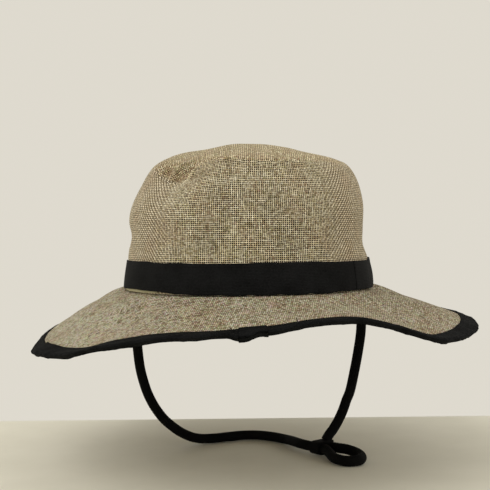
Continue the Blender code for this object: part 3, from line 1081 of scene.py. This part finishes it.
# %% A helper for finishes
class Recipe:
    """A material under way: it adds nodes and joins them up."""

    def __init__(self, name):
        self.material = bpy.data.materials.new(name)
        self.material.use_nodes = True
        self.tree = self.material.node_tree
        self.finish = self.tree.nodes["Principled BSDF"]

    def set(self, node, place, value):
        """Gives a node's input a number, a colour, or another node's output."""
        if isinstance(value, bpy.types.NodeSocket):
            self.tree.links.new(value, node.inputs[place])
        else:
            node.inputs[place].default_value = value

    def add(self, kind, values=(), **settings):
        node = self.tree.nodes.new("ShaderNode" + kind)
        for key, value in settings.items():
            setattr(node, key, value)
        for place, value in dict(values).items():
            self.set(node, place, value)
        return node

    def calc(self, operation, *values):
        return self.add("Math", enumerate(values), operation=operation).outputs[0]

    def times(self, value, factor):
        return self.calc("MULTIPLY", value, factor)

    def scaled(self, value, factor, more):
        """A value times a factor, and more added to it."""
        return self.calc("MULTIPLY_ADD", value, factor, more)

    def ease(self, value, low, high):
        """Goes smoothly from 0 to 1 while value goes from low to high."""
        spread = {0: value, 1: low, 2: high}
        return self.add("MapRange", spread, interpolation_type="SMOOTHSTEP").outputs[0]

    def noise(self, place, scale, detail=2.0, colour=False):
        """A cloudy pattern: a number round 0.5, or three of them as a colour."""
        values = {"Vector": place, "Scale": scale, "Detail": detail}
        return self.add("TexNoise", values).outputs["Color" if colour else "Fac"]

    def chance(self, place):
        """A random number from 0 to 1 that belongs to this place."""
        return self.add("TexWhiteNoise", {"Vector": place}, noise_dimensions="3D").outputs["Value"]

    def stored(self, name):
        """A number that is stored with the mesh's points."""
        return self.add("Attribute", attribute_name=name).outputs["Fac"]

    def join(self, x, y, z=0.0):
        return self.add("CombineXYZ", {0: x, 1: y, 2: z}).outputs[0]

    def mix(self, share, one, other, blend="MIX"):
        values = {0: share, 6: one, 7: other}
        return self.add("Mix", values, data_type="RGBA", blend_type=blend).outputs[2]

    def ramp(self, value, *stops):
        """A colour by a number, through (place, colour) stops."""
        node = self.add("ValToRGB", {0: value})
        bar = node.color_ramp.elements
        while len(bar) < len(stops):
            bar.new(0.5)
        for element, (place, colour) in zip(bar, stops):
            element.position = place
            element.color = (*colour, 1.0)
        return node.outputs[0]

    def bump(self, height, distance, strength):
        values = {"Height": height, "Distance": distance, "Strength": strength}
        self.set(self.finish, "Normal", self.add("Bump", values).outputs[0])


# %% [markdown]
# Linen
#
# Linen yarn is uneven: it swells and thins, so a plain weave of it has patches where holes show and
# others where they close. An image of cloth would repeat and blur, so the weave is worked out: each
# thread has a number, a width that wanders along it and a tone of its own, and at every crossing a
# chessboard of numbers says which thread lies on top. A cloudy number makes one set of threads rule
# over the other here and there, which shows as short runs of upright or level lines.

# %% Threads
YARN = (
    (0.28, (0.280, 0.210, 0.120)),
    (0.42, (0.480, 0.405, 0.260)),
    (0.56, (0.700, 0.630, 0.440)),
    (0.74, (0.900, 0.850, 0.670)),
)
# The holes' colour is painted shade from the dark inside, and SHADED paints shade beside thread
# tops.
HOLE_SHADE = (0.012, 0.009, 0.006, 1.0)
SHADED = (0.24, 0.19, 0.14, 1.0)
REDDISH = (0.80, 0.60, 0.52, 1.0)
TOPS_PER_THREAD = 0.40
THREADS_APART = 7.31
WAVER = 0.6
WAVER_RATE = 0.30
SLUB_RATE = 0.24
PLAIN_SPREAD = 0.14
LIFT = 0.5
ROUND_EDGE = 0.35


def thread_set(cloth, across, along, seed, cover, run, streaky, slubs):
    """One set of parallel threads: their number, place across, bulge and tone."""
    number = cloth.calc("FLOOR", across)
    own = cloth.scaled(number, THREADS_APART, seed)
    # The third number of a noise's place only keeps its pattern apart from the others.
    waver = cloth.noise(cloth.join(own, cloth.times(along, WAVER_RATE), 9.0), 1.0)
    middle = cloth.scaled(waver, WAVER, 0.5 - WAVER / 2)
    offset = cloth.calc("SUBTRACT", cloth.calc("FRACT", across), middle)
    slub = cloth.noise(cloth.join(own, cloth.times(along, SLUB_RATE)), 1.0)
    width = cloth.scaled(slub, slubs, cloth.calc("SUBTRACT", cover, slubs / 2))
    share = cloth.calc("DIVIDE", cloth.times(offset, 2.0), width)
    bulge = cloth.calc("SUBTRACT", 1.0, cloth.times(share, share))
    streak = cloth.noise(cloth.join(own, cloth.calc("DIVIDE", along, run), 3.0), 1.0)
    plain = cloth.times(cloth.chance(cloth.join(own, 5.0)), PLAIN_SPREAD)
    tone = cloth.scaled(cloth.calc("SUBTRACT", streak, 0.5), streaky, plain)
    return number, offset, bulge, tone


def thread_face(cloth, bulge, crossing, way, rule):
    """How high a thread's face lies, and -1 beside it."""
    lift = cloth.times(cloth.calc("COSINE", cloth.times(crossing, math.pi)), way)
    dome = cloth.calc("SQRT", cloth.calc("MAXIMUM", bulge, 0.0))
    face = cloth.calc("ADD", cloth.scaled(lift, LIFT, dome), rule)
    there = cloth.ease(bulge, 0.0, ROUND_EDGE)
    return cloth.scaled(there, cloth.calc("ADD", face, 1.0), -1.0)


# %% Linen's recipe
WANDER_CLOUDS = 60.0
PATCH_CLOUDS = 120.0
RULE_CLOUDS = 90.0
TINT_CLOUDS = 130.0
SPECK_CLOUDS = 650.0
BLUSH_CLOUDS = 45.0
WARP_SEED = 0.0
WEFT_SEED = 91.7
FOLD_CLOSES = 0.6
OPENING_BY_STRAIN_AND_SHADE = -0.06
SIDE_CLOSES = 0.02
MIDDLE_TONE = 0.46
# A painted highlight along the seam's fold.
FOLD_HIGHLIGHTS = 0.32
SIDE_REDDENS = 0.25
SIDE_ALIGNS = 0.78
SIDE_FILLS = 0.15
SHEEN = (0.95, 0.85, 0.62, 1.0)


def linen(
    name, pitch, cover, patchy=0.5, ruling=0.7, run=2.0, streaky=0.7, knotty=0.3, tints=0.25,
    blush=0.25, brightness=1.0, slubs=0.9, swing=0.0009, fuzz=0.28,
):
    """Uneven plain weave; cover is a thread's usual share of the pitch, run a streak's length."""
    cloth = Recipe(name)
    place = cloth.add("UVMap", uv_map="UVMap").outputs[0]
    wander = cloth.noise(place, WANDER_CLOUDS, colour=True)
    swung = {0: wander, 1: (swing, swing, 0.0), 2: place}
    place_now = cloth.add("VectorMath", swung, operation="MULTIPLY_ADD").outputs[0]
    split = cloth.add("SeparateXYZ", {0: place_now})
    round_hat = cloth.calc("DIVIDE", split.outputs[0], pitch)
    up_hat = cloth.calc("DIVIDE", split.outputs[1], pitch)

    patch = cloth.calc("SUBTRACT", cloth.noise(place, PATCH_CLOUDS, 3.0), 0.5)
    here = cloth.scaled(patch, patchy, cover)
    here = cloth.scaled(cloth.stored("fold"), FOLD_CLOSES, here)
    # The weave opens where it is pulled, and at the pinch it opens as painted shade.
    here = cloth.scaled(cloth.stored("strain_and_shade"), OPENING_BY_STRAIN_AND_SHADE, here)
    slant = cloth.stored("slant")
    sidewise = cloth.calc("ABSOLUTE", slant)
    here = cloth.scaled(sidewise, SIDE_CLOSES, here)
    warp_number, warp_off, warp_bulge, warp_tone = thread_set(
        cloth, round_hat, up_hat, WARP_SEED, here, run, streaky, slubs
    )
    weft_number, weft_off, weft_bulge, weft_tone = thread_set(
        cloth, up_hat, round_hat, WEFT_SEED, here, run, streaky, slubs
    )

    both = cloth.calc("ADD", warp_number, weft_number)
    sign = cloth.scaled(cloth.calc("FLOORED_MODULO", both, 2.0), 2.0, -1.0)
    elsewhere = cloth.add("VectorMath", {0: place, 1: (5.0, 3.0, 0.0)}, operation="ADD").outputs[0]
    cloudy = cloth.calc("SUBTRACT", cloth.noise(elsewhere, RULE_CLOUDS), 0.5)
    rule = cloth.times(cloudy, ruling)
    warp_face = thread_face(cloth, warp_bulge, weft_off, sign, rule)
    weft_face = thread_face(
        cloth, weft_bulge, warp_off, cloth.times(sign, -1.0), cloth.times(rule, -1.0)
    )
    height = cloth.calc("MAXIMUM", warp_face, weft_face)
    warp_on_top = cloth.calc("GREATER_THAN", warp_face, weft_face)

    tone = cloth.add("Mix", {0: warp_on_top, 2: weft_tone, 3: warp_tone}).outputs[0]
    knot = cloth.chance(cloth.join(warp_number, weft_number))
    tone = cloth.scaled(cloth.calc("SUBTRACT", knot, 0.5), knotty, tone)
    # Painted light and painted shade stored with the points shift the tone.
    tone = cloth.calc("ADD", cloth.calc("ADD", tone, MIDDLE_TONE), cloth.stored("painted_light"))
    tone = cloth.scaled(cloth.ease(cloth.stored("fold"), 0.3, 1.0), FOLD_HIGHLIGHTS, tone)
    stops = [(at, tuple(brightness * part for part in colour)) for at, colour in YARN]
    yarn = cloth.ramp(tone, *stops)
    yarn = cloth.mix(0.09, yarn, cloth.noise(place, TINT_CLOUDS, 1.0, colour=True), "OVERLAY")
    yarn = cloth.mix(tints, yarn, cloth.noise(place, SPECK_CLOUDS, 1.0, colour=True), "OVERLAY")
    reddish = cloth.times(cloth.ease(cloth.noise(place, BLUSH_CLOUDS, 3.0), 0.45, 0.65), blush)
    reddish = cloth.scaled(sidewise, SIDE_REDDENS, reddish)
    yarn = cloth.mix(reddish, yarn, REDDISH, "MULTIPLY")
    climb = cloth.times(cloth.calc("SIGN", slant), up_hat)
    line = cloth.times(cloth.calc("SUBTRACT", round_hat, climb), TOPS_PER_THREAD * math.tau)
    tops = cloth.calc("ADD", cloth.calc("COSINE", line), 0.45)
    share = cloth.times(sidewise, SIDE_ALIGNS)
    # Painted shade in the hollows between thread tops; at the sides it runs along aslant lines of
    # tops.
    shade = cloth.add("Mix", {0: share, 2: cloth.ease(height, -0.4, 1.2), 3: tops}).outputs[0]
    colour = cloth.mix(shade, cloth.mix(1.0, yarn, SHADED, "MULTIPLY"), yarn)
    level = cloth.scaled(sidewise, SIDE_FILLS, height)
    colour = cloth.mix(cloth.ease(level, -0.95, -0.25), HOLE_SHADE, colour)

    cloth.set(cloth.finish, "Base Color", colour)
    cloth.set(cloth.finish, "Roughness", 0.88)
    cloth.set(cloth.finish, "Specular IOR Level", 0.15)
    cloth.set(cloth.finish, "Sheen Weight", fuzz)
    cloth.set(cloth.finish, "Sheen Roughness", 0.5)
    cloth.set(cloth.finish, "Sheen Tint", SHEEN)
    cloth.bump(height, distance=0.00025, strength=0.5)
    return cloth.material


crown_linen = linen(
    "crown_linen",
    PITCH,
    0.290,
    patchy=0.08,
    ruling=0.25,
    streaky=0.3,
    knotty=0.28,
    slubs=0.55,
    swing=0.0006,
    brightness=1.37,
)
brim_linen = linen(
    "brim_linen",
    0.00118,
    0.60,
    run=7.0,
    streaky=1.15,
    knotty=0.65,
    tints=0.45,
    blush=0.40,
    brightness=0.66,
    fuzz=0.10,
)
welt_linen = linen("welt_linen", 0.0011, 0.95, patchy=0.2, blush=0.4, brightness=0.72)

# %% [markdown]
# The blacks
#
# Nothing black is quite black: the ribbon has fine ribs along it, the tape has ribs across and has
# faded a little, and the cord is the darkest. Their gloss is slight, as that of cotton is.

# %% Black tape, ribbon, thread and cord
GRAIN_CLOUDS = 1100.0
UNEVEN_CLOUDS = 60.0
GRAIN_SHARE = 0.55
DARKEST = 0.45
PALEST = 2.0


def black_cloth(name, tone, ribs_round_hat=0, rib_height=0.0005, gloss=0.09):
    """A black cloth with this many ribs across it round the hat, or with level ribs."""
    cloth = Recipe(name)
    place = cloth.add("TexCoord").outputs["Object"]
    split = cloth.add("SeparateXYZ", {0: place})
    if ribs_round_hat:
        turn = cloth.calc("ARCTAN2", split.outputs[1], split.outputs[0])
        ribs = cloth.calc("SINE", cloth.times(turn, ribs_round_hat))
    else:
        ribs = cloth.calc("SINE", cloth.times(split.outputs[2], math.tau / rib_height))
    grain = cloth.noise(place, GRAIN_CLOUDS, 3.0)
    uneven = cloth.noise(place, UNEVEN_CLOUDS)
    level = cloth.scaled(grain, GRAIN_SHARE, cloth.times(uneven, 1.0 - GRAIN_SHARE))
    low = tuple(DARKEST * part for part in tone)
    high = tuple(PALEST * part for part in tone)
    cloth.set(cloth.finish, "Base Color", cloth.ramp(level, (0.36, low), (0.64, high)))
    cloth.set(cloth.finish, "Roughness", 0.8)
    cloth.set(cloth.finish, "Specular IOR Level", gloss)
    cloth.bump(cloth.scaled(grain, 0.8, ribs), distance=0.00008, strength=0.6)
    return cloth.material


ribbon_black = black_cloth("ribbon_black", (0.0045, 0.0047, 0.0051), rib_height=0.0009)
tape_black = black_cloth("tape_black", (0.0052, 0.0055, 0.0059), ribs_round_hat=1150, gloss=0.03)
thread_black = black_cloth("thread_black", (0.0100, 0.0100, 0.0100))
cord_black = black_cloth("cord_black", (0.0022, 0.0022, 0.0023))

# %% Give every piece its finish
for material, pieces in (
    (crown_linen, (crown,)),
    (brim_linen, (brim,)),
    (welt_linen, (welt,)),
    (tape_black, (tape, tape_lap, *tabs)),
    (ribbon_black, (ribbon, ribbon_lap)),
    (thread_black, (tape_stitches, ribbon_stitches, tab_stitches, *loose_ends)),
    (cord_black, (cord_left, cord_right, keeper)),
):
    for obj in pieces:
        obj.data.materials.clear()
        obj.data.materials.append(material)
    print(material.name, "on", ", ".join(obj.name for obj in pieces))

thicken(brim, BRIM_WALL)

# %% Hang the pieces on the root and hide the plain solids
trim = {
    "ribbon": (ribbon_lap, ribbon_stitches),
    "tape": (tape_lap, tape_stitches, tab_stitches, *loose_ends),
}
for slot, pieces in trim.items():
    for obj in pieces:
        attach(obj, "root")
for obj, node in (
    (crown, "crown"),
    (brim, "brim"),
    (welt, "seam_welt"),
    (tape, "brim_binding"),
    (ribbon, "hat_band"),
    (cord_left, "chin_cord_left"),
    (cord_right, "chin_cord_right"),
    (tabs[0], "cord_tab_left"),
    (tabs[1], "cord_tab_right"),
    (keeper, "cord_keeper"),
):
    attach(obj, "root")
    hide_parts(node)

# %% [markdown]
# Floor and light
#
# The cord's slack loop just rests on a plain pale floor. One large soft light comes from the upper
# left of the camera and a weak one from the right, and the pale room fills the shadows.

# %% Floor
FLOOR_BACK = 0.128
FLOOR_SIZE = 3.0
FLOOR_GAP = 0.0004

bpy.ops.mesh.primitive_plane_add(
    size=FLOOR_SIZE, location=(0, FLOOR_BACK - FLOOR_SIZE / 2, cad_box[0].z - FLOOR_GAP)
)
floor = bpy.context.object
floor.name = "floor"
pale = Recipe("pale_floor")
grain = pale.noise(pale.add("TexCoord").outputs["Object"], 25.0, 4.0)
pale.set(
    pale.finish,
    "Base Color",
    pale.ramp(grain, (0.3, (0.77, 0.75, 0.65)), (0.7, (0.81, 0.79, 0.69))),
)
pale.set(pale.finish, "Roughness", 0.7)
floor.data.materials.append(pale.material)

# %% Light
ROOM = (0.735, 0.70, 0.62, 1)
DAYLIGHT = (1.0, 0.97, 0.92)
HAT_MIDDLE = Vector((0, 0, 0.03))

world = bpy.data.worlds.new("room")
world.use_nodes = True
background = world.node_tree.nodes["Background"]
background.inputs["Color"].default_value = ROOM
background.inputs["Strength"].default_value = 1.0
bpy.context.scene.world = world
bpy.context.scene.view_settings.view_transform = "Standard"


def add_light(name, place, size, power):
    """A square soft light that looks at the hat."""
    turn = (HAT_MIDDLE - Vector(place)).to_track_quat("-Z", "Y").to_euler()
    bpy.ops.object.light_add(type="AREA", location=place, rotation=turn)
    light = bpy.context.object
    light.name = name
    light.data.size = size
    light.data.energy = power
    light.data.color = DAYLIGHT
    print(name, "light of", power, "W")


add_light("window", (-0.85, -0.90, 1.42), size=1.3, power=11.0)
add_light("bright_room", (1.10, -0.60, 0.45), size=0.8, power=1.8)
